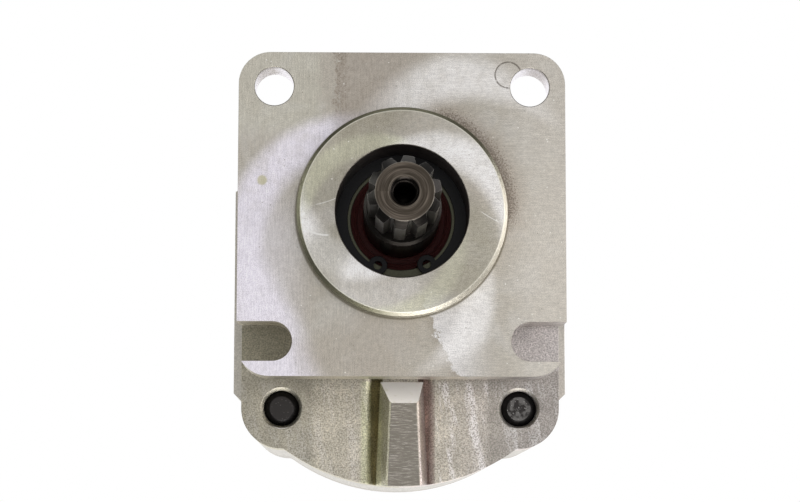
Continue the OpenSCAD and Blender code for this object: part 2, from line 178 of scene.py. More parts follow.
class Finish:
    """One procedural material. Its texture sizes are in millimetres, in the part's own frame."""

    def __init__(self, name, colour, metallic, roughness):
        self.material = bpy.data.materials.new(name)
        self.material.use_nodes = True
        self.tree = self.material.node_tree
        self.shader = self.tree.nodes["Principled BSDF"]
        self.metal = metallic
        self.colour = (*colour, 1)
        self.roughness = roughness
        self.height = None
        coordinates = self.node("ShaderNodeTexCoord")
        self.place = self.vector("SCALE", coordinates.outputs["Object"], scale=1 / MM)
        split = self.node("ShaderNodeSeparateXYZ", {0: self.place})
        self.x, self.y, self.z = split.outputs
        normal = self.node("ShaderNodeSeparateXYZ", {0: coordinates.outputs["Normal"]})
        self.normal_x, self.normal_y, self.normal_z = normal.outputs

    def node(self, kind, values=None, **settings):
        """A new node with its settings, and its inputs set to numbers or linked to sockets."""
        node = self.tree.nodes.new(kind)
        for key, value in settings.items():
            setattr(node, key, value)
        for key, value in (values or {}).items():
            if isinstance(value, bpy.types.NodeSocket):
                self.tree.links.new(value, node.inputs[key])
            else:
                node.inputs[key].default_value = value
        return node

    def math(self, operation, a, b=0.0, c=0.0):
        values = {0: a, 1: b, 2: c}
        return self.node("ShaderNodeMath", values, operation=operation).outputs[0]

    def vector(self, operation, a, b=None, scale=None):
        values = {0: a}
        if b is not None:
            values[1] = b
        if scale is not None:
            values["Scale"] = scale
        node = self.node("ShaderNodeVectorMath", values, operation=operation)
        return node.outputs["Value" if operation == "LENGTH" else "Vector"]

    def combine(self, x, y, z):
        return self.node("ShaderNodeCombineXYZ", {0: x, 1: y, 2: z}).outputs[0]

    def noise(self, size, detail=2.0, roughness=0.5, place=None, distortion=0.0):
        """Noise from 0 to 1 whose blotches are about size millimetres across."""
        values = {"Vector": place or self.place, "Scale": 1 / size, "Detail": detail,
                  "Roughness": roughness, "Distortion": distortion}
        return self.node("ShaderNodeTexNoise", values).outputs[0]

    def strokes(self, a, length_a, b, length_b, detail, roughness, distortion=0.0):
        """Noise whose blotches are about length_a long in a and length_b in b, in millimetres."""
        place = self.combine(self.math("DIVIDE", a, length_a), 0.0, self.math("DIVIDE", b, length_b))
        return self.noise(1.0, detail, roughness, place, distortion)

    def cells(self, size):
        """Distance to the nearest of scattered points about size millimetres apart."""
        values = {"Vector": self.place, "Scale": 1 / size}
        return self.node("ShaderNodeTexVoronoi", values).outputs["Distance"]

    def ramp(self, value, low, high, to_low=0.0, to_high=1.0):
        """A smooth change from to_low to to_high as value goes from low to high."""
        values = {"Value": value, "From Min": low, "From Max": high,
                  "To Min": to_low, "To Max": to_high}
        return self.node("ShaderNodeMapRange", values, interpolation_type="SMOOTHSTEP").outputs[0]

    def band(self, value, low, high, soft):
        """1 where value lies between low and high, and 0 outside."""
        rise = self.ramp(value, low - soft, low + soft)
        fall = self.ramp(value, high - soft, high + soft, 1.0, 0.0)
        return self.math("MULTIPLY", rise, fall)

    def both(self, *masks):
        """The product of several masks."""
        product = masks[0]
        for mask in masks[1:]:
            product = self.math("MULTIPLY", product, mask)
        return product

    def outside(self, mask):
        """1 where the mask is 0, and 0 where it is 1."""
        return self.math("SUBTRACT", 1.0, mask)

    def blend(self, mask, a, b):
        """A number or socket that goes from a to b with the mask."""
        values = {0: mask, 2: a, 3: b}
        return self.node("ShaderNodeMix", values, data_type="FLOAT").outputs[0]

    def tint(self, mask, colour):
        """Lays a colour over what is there, where the mask is 1."""
        other = (*colour, 1) if isinstance(colour, tuple) else colour
        values = {0: mask, 6: self.colour, 7: other}
        self.colour = self.node("ShaderNodeMix", values, data_type="RGBA").outputs[2]

    def shade(self, value, low, high):
        """Multiplies the colour by low where value is 0 and by high where it is 1."""
        factor = self.ramp(value, 0.25, 0.75, low, high)
        grey = self.combine(factor, factor, factor)
        values = {0: 1.0, 6: self.colour, 7: grey}
        node = self.node("ShaderNodeMix", values, data_type="RGBA", blend_type="MULTIPLY")
        self.colour = node.outputs[2]

    def polish(self, mask, roughness):
        """Changes the roughness to a number or socket where the mask is 1."""
        self.roughness = self.blend(mask, self.roughness, roughness)

    def raise_by(self, value, depth):
        """Adds value times depth millimetres to the bump."""
        term = self.math("MULTIPLY", value, depth)
        self.height = term if self.height is None else self.math("ADD", self.height, term)

    def around(self, centre_x, centre_z):
        """(radius, angle) of each point around an axis along Y, in millimetres and radians."""
        dx = self.math("SUBTRACT", self.x, centre_x)
        dz = self.math("SUBTRACT", self.z, centre_z)
        flat = self.combine(dx, 0.0, dz)
        return self.vector("LENGTH", flat), self.math("ARCTAN2", dz, dx)

    def turned(self, radius, angle, pitch):
        """Fine rings round an axis, pitch millimetres apart and broken up along their length."""
        place = self.combine(self.math("DIVIDE", radius, pitch), angle, 0.0)
        return self.noise(1.0, 3.0, 0.6, place)

    def brush(self, amount, centre_x=0.0, centre_z=0.0):
        """Stretches reflections across rings that a lathe has cut round an axis along Y."""
        offset = self.combine(centre_x, self.y, centre_z)
        radial = self.vector("SUBTRACT", self.place, offset)
        world = self.node("ShaderNodeVectorTransform", {0: radial}, vector_type="VECTOR",
                          convert_from="OBJECT", convert_to="WORLD").outputs[0]
        self.shader.inputs["Anisotropic"].default_value = amount
        self.tree.links.new(world, self.shader.inputs["Tangent"])

    def done(self):
        """Connects the colour, the roughness and the bump, and returns the material."""
        inputs = {"Base Color": self.colour, "Metallic": self.metal, "Roughness": self.roughness}
        for name, value in inputs.items():
            if isinstance(value, bpy.types.NodeSocket):
                self.tree.links.new(value, self.shader.inputs[name])
            else:
                self.shader.inputs[name].default_value = value
        if self.height is not None:
            values = {"Height": self.height, "Distance": MM, "Strength": 1.0}
            bump = self.node("ShaderNodeBump", values)
            self.tree.links.new(bump.outputs[0], self.shader.inputs["Normal"])
        return self.material


# ---------------------------------------------------------------- the finishes

# Places on the part, in millimetres.
DRIVEN_Z = -37.5  # axis of the driven gear
BLOCK_Y = 21.5  # front of the cast block behind the flange
CREST_Y = 15.0  # crest of the rib
FLANGE_LOW_Z = -box_mm("front_cover")[1].z  # the flange reaches as far below the axis as above it
PILOT_Y = box_mm("front_cover")[0].y  # front of the pilot
PILOT_R = 29.4
HOLE_AT = 36.0  # mounting holes, across and up from the drive axis
HOLE_R = 5.5
SEAL_BORE_R = 18.5
PAD_X = box_mm("pump_body")[1].x  # face of a port pad
TIP_Y = box_mm("drive_gear_shaft")[0].y  # tip of the drive shaft
SCRIBED_X, SCRIBED_Z, SCRIBED_R = 29.9, 39.5, 3.7  # ring scribed beside the right upper hole
SPOT_X, SPOT_Z, SPOT_R = -39.2, 9.2, 1.7  # yellow spot near the left edge of the flange
CUTTER_Y, CUTTER_Z = 40.0, -150.0  # middle of the arcs that are milled across the port pads

# Painted reflections on the turned face: light and dark curved bands that stand in for the lamps
# mirrored in its rings.
SWIRL_REFLECTIONS = [
    # from radius, from angle, to radius, to angle, half width (millimetres, degrees), strength, colour
    (18.0, 96, 30.0, 186, 20, 0.95, "green"),
    (18.0, 70, 30.0, 6, 24, 0.9, "white"),
    (18.0, 236, 30.0, 186, 20, 1.0, "white"),
    (18.0, 285, 30.0, 232, 18, 0.3, "white"),
    (18.0, 330, 30.0, 262, 15, 0.55, "green"),
    (18.0, 300, 30.0, 300, 16, 0.4, "dark"),
    (18.0, 160, 30.0, 160, 14, 0.6, "dark"),
    (18.0, 130, 30.0, 110, 24, 0.7, "dark"),
    (18.0, 350, 30.0, 315, 22, 0.65, "dark"),
    (18.0, 205, 30.0, 215, 14, 0.6, "dark"),
    (29.5, 96, 46.0, 58, 15, 0.75, "white"),
    (29.5, 132, 46.0, 190, 18, 0.9, "lilac"),
    (38.0, 200, 62.0, 238, 18, 0.8, "lilac"),
    (29.5, 316, 40.0, 296, 10, 0.7, "white"),
    (29.5, 112, 46.0, 96, 13, 0.6, "brown"),
    (29.5, 262, 46.0, 250, 16, 0.35, "brown"),
]
SWIRL_REFLECTION_COLOURS = {
    "white": (0.97, 0.95, 0.94), "lilac": (0.90, 0.86, 0.95), "green": (0.80, 0.80, 0.62),
    "dark": (0.36, 0.335, 0.26), "brown": (0.42, 0.37, 0.32),
}
SCRATCHES = [
    # centre x, centre z, radius, from x, to x, half width, in millimetres
    (-21.0, 4.0, 10.9, -27.2, -20.5, 0.25),
    (-30.0, 30.0, 29.0, -24.0, -17.5, 0.08),
    (40.0, 25.0, 31.0, 22.0, 27.0, 0.08),
]


def floor_finish():
    """Plain pale floor, very slightly uneven."""
    finish = Finish("pale_floor", (0.88, 0.88, 0.87), 0.0, 0.6)
    finish.shade(finish.noise(60), 0.985, 1.0)
    return finish.done()


def front_cover_finish():
    """Turned mounting face and pilot, a darkened bore, and grainy cast metal behind the flange."""
    finish = Finish("cast_and_turned_aluminium", (0.50, 0.46, 0.39), 1.0, 0.45)
    radius, angle = finish.around(0.0, 0.0)
    facing = finish.ramp(finish.normal_y, -0.92, -0.98)
    front = finish.ramp(finish.y, 0.4, 0.2)
    machined = finish.both(facing, front)
    cast = finish.outside(machined)
    grain = finish.noise(0.42, 3.0, 0.65)
    cast_colours(finish, grain)
    crest_strokes(finish)

    ring = finish.turned(radius, angle, 0.35)
    finish.tint(machined, turned_face_colour(finish, radius, angle))
    finish.polish(machined, finish.blend(ring, 0.36, 0.5))
    scribed_ring(finish, machined)
    face_edges(finish, radius, angle, facing, front)
    hole_walls(finish, radius)
    rib_bevel(finish)

    finish.raise_by(finish.both(cast, grain), 0.09)
    finish.raise_by(finish.both(cast, finish.noise(1.6, 2.0)), 0.06)
    finish.raise_by(finish.both(machined, ring), 0.003)
    finish.brush(0.35)
    return finish.done()


def cast_colours(finish, grain):
    """Cast skin: olive at the left, pinkish at the right, with pale flow marks, painted shade and
    light behind the slots, and painted light and shade in the rib's grooves.
    """
    x, y, z = finish.x, finish.y, finish.z
    finish.tint(finish.ramp(x, 4.0, -40.0, 0.0, 0.7), (0.48, 0.445, 0.36))
    finish.tint(finish.ramp(x, 6.0, 40.0, 0.0, 0.8), (0.46, 0.42, 0.41))
    behind_slots = finish.both(finish.ramp(z, -43.0, -41.5), finish.ramp(z, -29.0, -31.0),
                               finish.ramp(y, BLOCK_Y - 1.5, BLOCK_Y - 0.5))
    # Painted shade on the block seen through the left slot, and painted light on it through the right
    # slot.
    finish.tint(finish.both(behind_slots, finish.ramp(x, -29.0, -31.0), 0.7), (0.26, 0.24, 0.17))
    finish.tint(finish.both(behind_slots, finish.ramp(x, 29.0, 31.0), 0.7), (0.82, 0.76, 0.76))

    # Olive groove at the left of the rib, lightened with painted light; its inner flank darkened with
    # painted shade; a browner groove at its right, darkened with painted shade.
    below = finish.ramp(z, -45.0, -46.5)
    finish.tint(finish.both(below, finish.band(x, -11.2, -5.0, 0.7), 0.9), (0.56, 0.55, 0.39))
    finish.tint(finish.both(below, finish.band(x, 5.1, 9.6, 1.0), 0.9), (0.42, 0.36, 0.335))
    finish.tint(finish.both(below, finish.band(x, -5.4, -2.6, 0.4), 0.8), (0.36, 0.345, 0.26))
    deep = finish.both(finish.ramp(y, BLOCK_Y + 0.4, BLOCK_Y + 2.1), finish.ramp(z, -36.0, -38.0))
    finish.tint(finish.both(deep, finish.ramp(x, 1.0, -1.0), 0.85), (0.52, 0.48, 0.33))
    finish.tint(finish.both(deep, finish.ramp(x, -1.0, 1.0), 0.85), (0.74, 0.64, 0.60))

    finish.shade(finish.noise(7.0, 3.0), 0.86, 1.10)
    finish.shade(grain, 0.52, 1.42)
    slant = finish.math("MULTIPLY_ADD", z, 0.16, x)
    flow = finish.strokes(slant, 3.4, z, 26.0, 4.0, 0.7)
    pale = finish.both(finish.ramp(flow, 0.47, 0.62), finish.ramp(grain, 0.40, 0.56),
                       finish.ramp(z, -45.0, -47.0))
    finish.tint(finish.both(pale, finish.ramp(x, 9.0, 12.0, 0.25, 0.85)), (0.86, 0.83, 0.83))


def crest_strokes(finish):
    """Coarse milling strokes across the crest of the rib."""
    crest = finish.both(finish.ramp(finish.y, CREST_Y + 0.3, CREST_Y + 0.1),
                        finish.ramp(finish.z, -50.0, -51.0))
    stroke = finish.strokes(finish.x, 3.5, finish.z, 0.22, 5.0, 0.75, 0.4)
    finish.tint(crest, (0.22, 0.20, 0.17))
    finish.tint(finish.both(crest, finish.ramp(stroke, 0.5, 0.66), 0.85), (0.58, 0.55, 0.50))
    finish.tint(finish.both(crest, finish.ramp(stroke, 0.46, 0.3), 0.7), (0.14, 0.125, 0.105))


def rib_bevel(finish):
    """Bevel where the rib meets the flange, painted near white and made not metallic as a painted
    highlight, with a few yellowish blotches.
    """
    bevel = finish.both(finish.ramp(finish.normal_z, 0.55, 0.65),
                        finish.ramp(finish.z, FLANGE_LOW_Z + 0.55, FLANGE_LOW_Z + 0.35),
                        finish.ramp(finish.normal_y, -0.55, -0.65),
                        finish.ramp(finish.y, BLOCK_Y + 0.4, BLOCK_Y + 0.1))
    blotch = finish.ramp(finish.noise(2.0, 3.0, 0.6), 0.55, 0.75, 0.0, 0.5)
    # Painted highlight: the bevel is near white and not metallic so that it looks brightly lit.
    finish.tint(bevel, (0.98, 0.965, 0.95))
    finish.tint(finish.both(bevel, blotch), (0.74, 0.73, 0.60))
    finish.metal = finish.blend(bevel, 1.0, 0.0)


def face_edges(finish, radius, angle, facing, front):
    """The narrow edges round the mounting face and the pilot, darkened as painted shade, with a
    painted highlight on the lower right of the pilot's rim and a thin painted highlight line inside
    it.
    """
    off_face = finish.both(finish.outside(facing), front)
    outer = finish.both(off_face, finish.ramp(radius, 30.0, 30.5))
    # Painted shade on the rounded outer edges of the face.
    finish.tint(finish.both(outer, 0.85), (0.20, 0.19, 0.16))
    rim = finish.both(off_face, finish.band(radius, PILOT_R - 1.2, PILOT_R + 0.2, 0.1))
    to_lower_right = finish.math("COSINE", finish.math("ADD", angle, math.radians(35)))
    # Painted shade on the pilot's rim, which becomes a painted highlight towards the lower right.
    finish.tint(rim, (0.15, 0.145, 0.10))
    finish.tint(finish.both(rim, finish.ramp(to_lower_right, 0.2, 0.9), 0.75), (0.55, 0.52, 0.45))
    # A thin painted highlight line just inside the pilot's edge.
    painted_highlight_line = finish.band(radius, PILOT_R - 1.25, PILOT_R - 0.95, 0.08)
    finish.tint(finish.both(painted_highlight_line, front, 0.55), (0.80, 0.78, 0.68))


def hole_walls(finish, radius):
    """Hole walls painted bright as a painted reflection and darker near the front as painted shade,
    painted shade in the recesses round the bolt ends, and the darkened bore.
    """
    hole_x = finish.math("SUBTRACT", finish.math("ABSOLUTE", finish.x), HOLE_AT)
    hole_z = finish.math("SUBTRACT", finish.z, HOLE_AT)
    from_hole = finish.vector("LENGTH", finish.combine(hole_x, 0.0, hole_z))
    wall = finish.both(finish.ramp(from_hole, HOLE_R + 0.5, HOLE_R + 0.3),
                       finish.ramp(finish.y, 0.1, 0.5))
    blotch = finish.ramp(finish.noise(1.5, 3.0), 0.5, 0.7)
    # Painted reflection: the walls of the mounting holes are painted bright, with duller blotches.
    finish.tint(wall, (0.80, 0.77, 0.82))
    finish.tint(finish.both(wall, blotch, 0.5), (0.50, 0.47, 0.44))
    # Painted shade on the walls near the front.
    finish.tint(finish.both(wall, finish.ramp(finish.y, 2.6, 0.6), 0.7), (0.30, 0.275, 0.26))
    finish.polish(wall, 0.3)

    # Painted shade in the recesses round the bolt ends.
    recess = finish.both(finish.ramp(finish.math("ABSOLUTE", finish.x), 24.0, 26.0),
                         finish.band(finish.y, BLOCK_Y, BLOCK_Y + 1.0, 0.05))
    finish.tint(finish.both(recess, 0.6), (0.15, 0.145, 0.115))

    # The bore is darkened, and darker still in blotches.
    bore = finish.both(finish.ramp(radius, SEAL_BORE_R + 0.5, SEAL_BORE_R + 0.3),
                       finish.ramp(finish.y, PILOT_Y + 0.1, PILOT_Y + 0.25))
    bore_blotch = finish.ramp(finish.noise(3.0, 4.0), 0.45, 0.7)
    finish.tint(bore, (0.17, 0.155, 0.145))
    finish.tint(finish.both(bore, bore_blotch, 0.6), (0.02, 0.019, 0.02))
    finish.polish(bore, 0.4)


def turned_face_colour(finish, radius, angle):
    """Satin grey of the mounting face, with its brown stains, paler wiped areas, and painted light and
    dark reflections.
    """
    ground = finish.colour
    finish.colour = (0.50, 0.465, 0.405, 1)
    x, z = finish.x, finish.z
    broad = finish.noise(14.0, 4.0, 0.6, distortion=0.6)
    finish.tint(finish.ramp(broad, 0.42, 0.7, 0.0, 0.5), (0.48, 0.44, 0.385))
    finish.tint(finish.ramp(broad, 0.55, 0.32, 0.0, 0.4), (0.62, 0.60, 0.57))
    ragged = finish.noise(2.6, 5.0, 0.75)
    wavering = finish.math("ADD", x, finish.math("MULTIPLY_ADD", ragged, 11.0, -5.5))
    upper_stain(finish, wavering)
    lower_stain(finish, wavering)

    # Paler, slightly violet metal towards the lower left, and greyer metal at the right.
    pale = finish.both(finish.ramp(x, -22.0, -38.0), finish.ramp(z, 14.0, -6.0))
    finish.tint(finish.both(pale, 0.55), (0.80, 0.77, 0.82))
    finish.tint(finish.both(finish.ramp(x, 24.0, 40.0), 0.5), (0.68, 0.64, 0.58))

    # Painted light and dark reflections swept round the axis.
    for swirl in SWIRL_REFLECTIONS:
        painted_swirl_reflection(finish, radius, angle, *swirl)
    pilot_foot_and_halo(finish, radius, angle)
    face_grain(finish)
    scratches(finish)
    colour, finish.colour = finish.colour, ground
    return colour


def upper_stain(finish, wavering):
    """Brown stain above and left of the pilot, dark and speckled along its ragged edge."""
    above = finish.ramp(finish.z, 20.0, 26.0)
    speckle = finish.ramp(finish.noise(0.7, 3.0, 0.7), 0.46, 0.6)
    inside = finish.both(finish.ramp(wavering, -18.8, -18.2), finish.ramp(finish.x, 8.0, -10.0), above)
    finish.tint(finish.both(inside, 0.55), (0.42, 0.375, 0.32))
    edge = finish.both(finish.ramp(wavering, -18.9, -18.4), finish.ramp(wavering, -13.5, -18.0), above)
    finish.tint(finish.both(edge, 0.45), (0.36, 0.31, 0.255))
    finish.tint(finish.both(edge, speckle, 0.6), (0.20, 0.165, 0.13))
    finish.tint(finish.both(finish.ramp(wavering, -22.0, -24.0), above, 0.35), (0.60, 0.59, 0.50))


def lower_stain(finish, wavering):
    """Stain below the pilot that ends at a ragged wiped edge."""
    slant = finish.math("MULTIPLY_ADD", finish.z, 0.45, wavering)
    below = finish.ramp(finish.z, -28.0, -30.0)
    dull = finish.both(finish.ramp(slant, -5.2, -5.6), finish.ramp(finish.x, -22.0, 6.0), below)
    finish.tint(finish.both(dull, 0.5), (0.43, 0.39, 0.33))
    edge = finish.both(finish.ramp(slant, -5.0, -5.4), finish.ramp(slant, -9.0, -5.6), below)
    finish.tint(finish.both(edge, 0.5), (0.34, 0.30, 0.25))
    wiped = finish.both(finish.ramp(slant, -5.5, -5.0), finish.ramp(finish.x, 30.0, 10.0),
                        finish.ramp(finish.z, -20.0, -28.0))
    finish.tint(finish.both(wiped, 0.6), (0.78, 0.77, 0.79))


def pilot_foot_and_halo(finish, radius, angle):
    """A dark ring round the foot of the pilot, and the gritty brown halo at its right."""
    foot = finish.band(radius, PILOT_R - 0.2, PILOT_R + 0.6, 0.25)
    finish.tint(finish.both(foot, 0.8), (0.18, 0.16, 0.115))
    off_pilot = finish.ramp(radius, PILOT_R - 0.1, PILOT_R + 0.1)
    to_right = finish.math("COSINE", finish.math("SUBTRACT", angle, math.radians(32)))
    halo = finish.both(finish.ramp(radius, 38.0, PILOT_R + 0.1), off_pilot,
                       finish.ramp(to_right, 0.55, 0.9))
    finish.tint(finish.both(halo, 0.6), (0.42, 0.355, 0.29))
    gritty = finish.math("MULTIPLY_ADD", halo, 0.36, finish.noise(0.5, 4.0, 0.75))
    finish.tint(finish.both(finish.ramp(gritty, 0.72, 0.9), off_pilot, 0.75), (0.16, 0.125, 0.10))


def face_grain(finish):
    """Fine grain, brushed lines, bright flecks, dark pits and one yellow spot."""
    finish.shade(finish.noise(0.28, 2.0, 0.6), 0.80, 1.20)
    level = finish.strokes(finish.x, 4.0, finish.z, 0.35, 3.0, 0.6)
    upright = finish.strokes(finish.x, 0.35, finish.z, 5.0, 3.0, 0.6)
    finish.shade(finish.blend(finish.ramp(finish.x, -12.0, 12.0), upright, level), 0.90, 1.11)
    finish.shade(finish.noise(1.3, 3.0), 0.93, 1.07)
    fleck = finish.both(finish.ramp(finish.cells(2.3), 0.11, 0.05),
                        finish.ramp(finish.noise(9.0), 0.4, 0.6))
    finish.tint(finish.both(fleck, 0.8), (0.95, 0.94, 0.90))
    pit = finish.ramp(finish.cells(3.1), 0.075, 0.04)
    finish.tint(finish.both(pit, 0.6), (0.24, 0.21, 0.17))
    from_spot, _ = finish.around(SPOT_X, SPOT_Z)
    finish.tint(finish.both(finish.ramp(from_spot, SPOT_R, SPOT_R - 0.7), 0.6), (0.50, 0.47, 0.20))


def painted_swirl_reflection(finish, radius, angle, r0, angle0, r1, angle1, half_width, strength, colour):
    """One painted reflection: a curved light or dark band, swept from (r0, angle0) to (r1, angle1),
    that stands in for a lamp mirrored in the turned rings.

    A band that starts inside the seal bore's radius ends at the edge of the pilot. The others lie
    on the flange, and start sharply at the foot of the pilot or softly further out.
    """
    slope = math.radians(angle1 - angle0) / (r1 - r0)
    centre = finish.math("MULTIPLY_ADD", radius, slope, math.radians(angle0) - slope * r0)
    apart = finish.math("COSINE", finish.math("SUBTRACT", angle, centre))
    sweep = finish.ramp(apart, math.cos(math.radians(1.7 * half_width)), 1.0)
    sweep = finish.math("POWER", sweep, 1.3)
    if r0 < SEAL_BORE_R:
        span = finish.ramp(radius, PILOT_R + 0.1, PILOT_R - 0.1)
    else:
        fade_in = 0.2 if r0 < 30 else 6.0
        span = finish.both(finish.ramp(radius, r0 - 0.2, r0 + fade_in),
                           finish.ramp(radius, r1 + 8, r1 - 1.0))
    patchy = finish.ramp(finish.noise(5.0, 4.0, 0.6), 0.2, 0.65, 0.6, 1.0)
    finish.tint(finish.both(sweep, span, patchy, strength), SWIRL_REFLECTION_COLOURS[colour])


def scratches(finish):
    """A few bright hairline scratches, each part of a circle."""
    for centre_x, centre_z, size, low_x, high_x, width in SCRATCHES:
        radius, _ = finish.around(centre_x, centre_z)
        line = finish.band(radius, size - width, size + width, 0.12)
        span = finish.both(finish.band(finish.x, low_x, high_x, 0.5),
                           finish.ramp(finish.z, centre_z, centre_z - 1))
        finish.tint(finish.both(line, span, 0.8), (0.92, 0.91, 0.88))


def scribed_ring(finish, machined):
    """A shallow broken ring scribed in the face beside the right upper hole."""
    radius, _ = finish.around(SCRIBED_X, SCRIBED_Z)
    line = finish.band(radius, SCRIBED_R - 0.2, SCRIBED_R + 0.2, 0.15)
    broken = finish.ramp(finish.noise(2.4, 2.0), 0.38, 0.5)
    mark = finish.both(line, broken, machined)
    finish.tint(finish.both(mark, 0.8), (0.14, 0.12, 0.10))
    finish.raise_by(mark, -0.05)


def body_finish():
    """Extruded aluminium with drawn lines along its length, and milled port pads."""
    finish = Finish("extruded_aluminium", (0.50, 0.475, 0.43), 1.0, 0.42)
    along = finish.combine(
        finish.math("DIVIDE", finish.x, 0.5), finish.math("DIVIDE", finish.y, 30.0),
        finish.math("DIVIDE", finish.z, 0.5))
    drawn = finish.noise(1.0, 4.0, 0.65, along)
    grain = finish.noise(0.4, 3.0, 0.65)
    finish.shade(finish.noise(8.0, 4.0), 0.95, 1.05)
    finish.shade(grain, 0.86, 1.14)
    pad = finish.both(finish.ramp(finish.math("ABSOLUTE", finish.x), PAD_X - 0.2, PAD_X - 0.05),
                      finish.ramp(finish.math("ABSOLUTE", finish.normal_x), 0.9, 0.97))
    skin = finish.outside(pad)
    sweep = finish.vector("LENGTH", finish.combine(
        finish.math("SUBTRACT", finish.y, CUTTER_Y), 0.0, finish.math("SUBTRACT", finish.z, CUTTER_Z)))
    milled = finish.noise(1.0, 3.0, 0.6, finish.combine(finish.math("DIVIDE", sweep, 0.5), 0.0, 0.0))
    stroke = finish.blend(pad, drawn, milled)
    finish.tint(pad, (0.60, 0.58, 0.55))
    finish.shade(stroke, 0.84, 1.16)
    finish.polish(pad, 0.32)
    scuff = finish.ramp(finish.noise(3.0, 5.0, 0.75), 0.58, 0.68)
    finish.tint(finish.both(scuff, 0.35), (0.34, 0.32, 0.28))
    finish.raise_by(finish.both(skin, grain), 0.03)
    finish.raise_by(stroke, 0.015)
    return finish.done()


def rear_cover_finish():
    """Cast cover whose back has been turned flat about the middle of the casing."""
    finish = Finish("rear_cover_skin", (0.46, 0.43, 0.385), 1.0, 0.45)
    radius, angle = finish.around(0.0, DRIVEN_Z / 2)
    grain = finish.noise(0.42, 3.0, 0.65)
    finish.shade(finish.noise(8.0, 4.0), 0.93, 1.06)
    finish.shade(grain, 0.72, 1.28)
    ring = finish.turned(radius, angle, 0.4)
    back = finish.ramp(finish.normal_y, 0.92, 0.98)
    colour, finish.colour = finish.colour, (0.56, 0.53, 0.485, 1)
    finish.shade(ring, 0.86, 1.14)
    finish.shade(finish.noise(0.3, 2.0), 0.88, 1.12)
    scuff = finish.ramp(finish.noise(4.0, 5.0, 0.75), 0.55, 0.68)
    finish.tint(finish.both(scuff, 0.45), (0.38, 0.35, 0.31))
    pit = finish.ramp(finish.cells(3.4), 0.08, 0.04)
    finish.tint(finish.both(pit, 0.6), (0.22, 0.20, 0.17))
    machined, finish.colour = finish.colour, colour
    finish.tint(back, machined)
    finish.polish(back, finish.blend(ring, 0.34, 0.46))
    cast = finish.outside(back)
    finish.raise_by(finish.both(cast, grain), 0.09)
    finish.raise_by(finish.both(back, ring), 0.004)
    finish.brush(0.3, 0.0, DRIVEN_Z / 2)
    return finish.done()


def shaft_finish(name, axis_z):
    """Turned steel painted near black as painted shade: a brown turned end face with painted
    highlights on its rims, darker forward-facing chamfers, and tooth lands with patchy painted
    highlights.
    """
    # The near-black base colour is painted shade and dark reflection.
    finish = Finish(name, (0.02, 0.0175, 0.0155), 1.0, 0.34)
    radius, angle = finish.around(0.0, axis_z)
    ring = finish.turned(radius, angle, 0.3)
    smear = finish.noise(2.5, 4.0, 0.6)
    finish.shade(smear, 0.6, 1.4)
    # Patchy painted highlights on the tooth lands.
    land = finish.band(radius, 9.6, 9.95, 0.05)
    patchy_highlight = finish.ramp(finish.noise(1.6, 4.0, 0.7), 0.45, 0.66)
    finish.tint(finish.both(land, patchy_highlight, 0.7), (0.11, 0.10, 0.092))
    # Painted shade on the forward-facing chamfers and shoulder.
    shaded_chamfers = finish.both(finish.ramp(finish.normal_y, -0.5, -0.6), finish.ramp(radius, 7.9, 8.1))
    finish.tint(finish.both(shaded_chamfers, 0.8), (0.010, 0.009, 0.008))
    end = finish.ramp(finish.normal_y, -0.9, -0.97)
    tip = finish.both(end, finish.ramp(finish.y, TIP_Y + 0.7, TIP_Y + 0.3))
    finish.tint(tip, (0.062, 0.051, 0.040))
    broad = finish.noise(1.0, 2.0, 0.5, finish.combine(
        finish.math("DIVIDE", radius, 1.1), finish.math("MULTIPLY", angle, 0.4), 0.0))
    finish.tint(finish.both(tip, finish.ramp(broad, 0.45, 0.65), 0.7), (0.145, 0.12, 0.098))
    # Thin painted highlights on the rims of the end face.
    outer_rim_highlight = finish.both(finish.band(radius, 7.7, 7.9, 0.08),
                            finish.ramp(finish.y, TIP_Y + 0.6, TIP_Y + 0.2))
    finish.tint(finish.both(outer_rim_highlight, 0.4), (0.30, 0.27, 0.23))
    inner_rim_highlight = finish.both(tip, finish.band(radius, 4.2, 4.35, 0.08))
    finish.tint(finish.both(inner_rim_highlight, 0.4), (0.28, 0.25, 0.21))
    finish.shade(ring, 0.62, 1.45)
    finish.roughness = finish.blend(ring, 0.3, 0.45)
    finish.raise_by(ring, 0.006)
    finish.brush(0.5, 0.0, axis_z)
    return finish.done()


def bolt_finish():
    """Blackened steel whose flat ends are rubbed and pitted."""
    finish = Finish("blackened_bolt", (0.016, 0.015, 0.015), 0.9, 0.4)
    grain = finish.noise(0.5, 3.0, 0.6)
    finish.shade(grain, 0.7, 1.4)
    end = finish.ramp(finish.math("ABSOLUTE", finish.normal_y), 0.93, 0.98)
    finish.tint(end, (0.038, 0.035, 0.034))
    right = finish.both(finish.ramp(finish.x, -5.0, 5.0), finish.ramp(finish.y, 60.0, 50.0))
    rubbed = finish.ramp(finish.noise(1.4, 3.0), 0.45, 0.62)
    finish.tint(finish.both(end, right, rubbed), (0.14, 0.135, 0.13))
    fleck = finish.ramp(finish.cells(0.9), 0.22, 0.08)
    finish.tint(finish.both(end, fleck, finish.blend(right, 0.15, 0.7)), (0.45, 0.43, 0.42))
    finish.raise_by(grain, 0.03)
    return finish.done()


def plain_finish(name, colour, metallic, roughness, size, depth):
    """One colour with a grain of size millimetres that stands depth millimetres high."""
    finish = Finish(name, colour, metallic, roughness)
    grain = finish.noise(size, 3.0, 0.6)
    finish.shade(grain, 0.85, 1.15)
    finish.roughness = finish.blend(grain, roughness - 0.06, roughness + 0.08)
    finish.raise_by(grain, depth)
    return finish.done()


# ---------------------------------------------------------------- pieces that the CAD leaves plain

THREAD_STEPS = 40
THREAD_BITE = 0.15  # how far the ridges reach into the wall of their hole
THREAD_FOOT = 0.46  # half widths of a ridge at the wall and at its crest, in pitches
THREAD_CREST = 0.07
COIL_TURNS = 96
COIL_STEPS = 10
COIL_WIRE_R = 0.17
WIRE_SIDES = 6


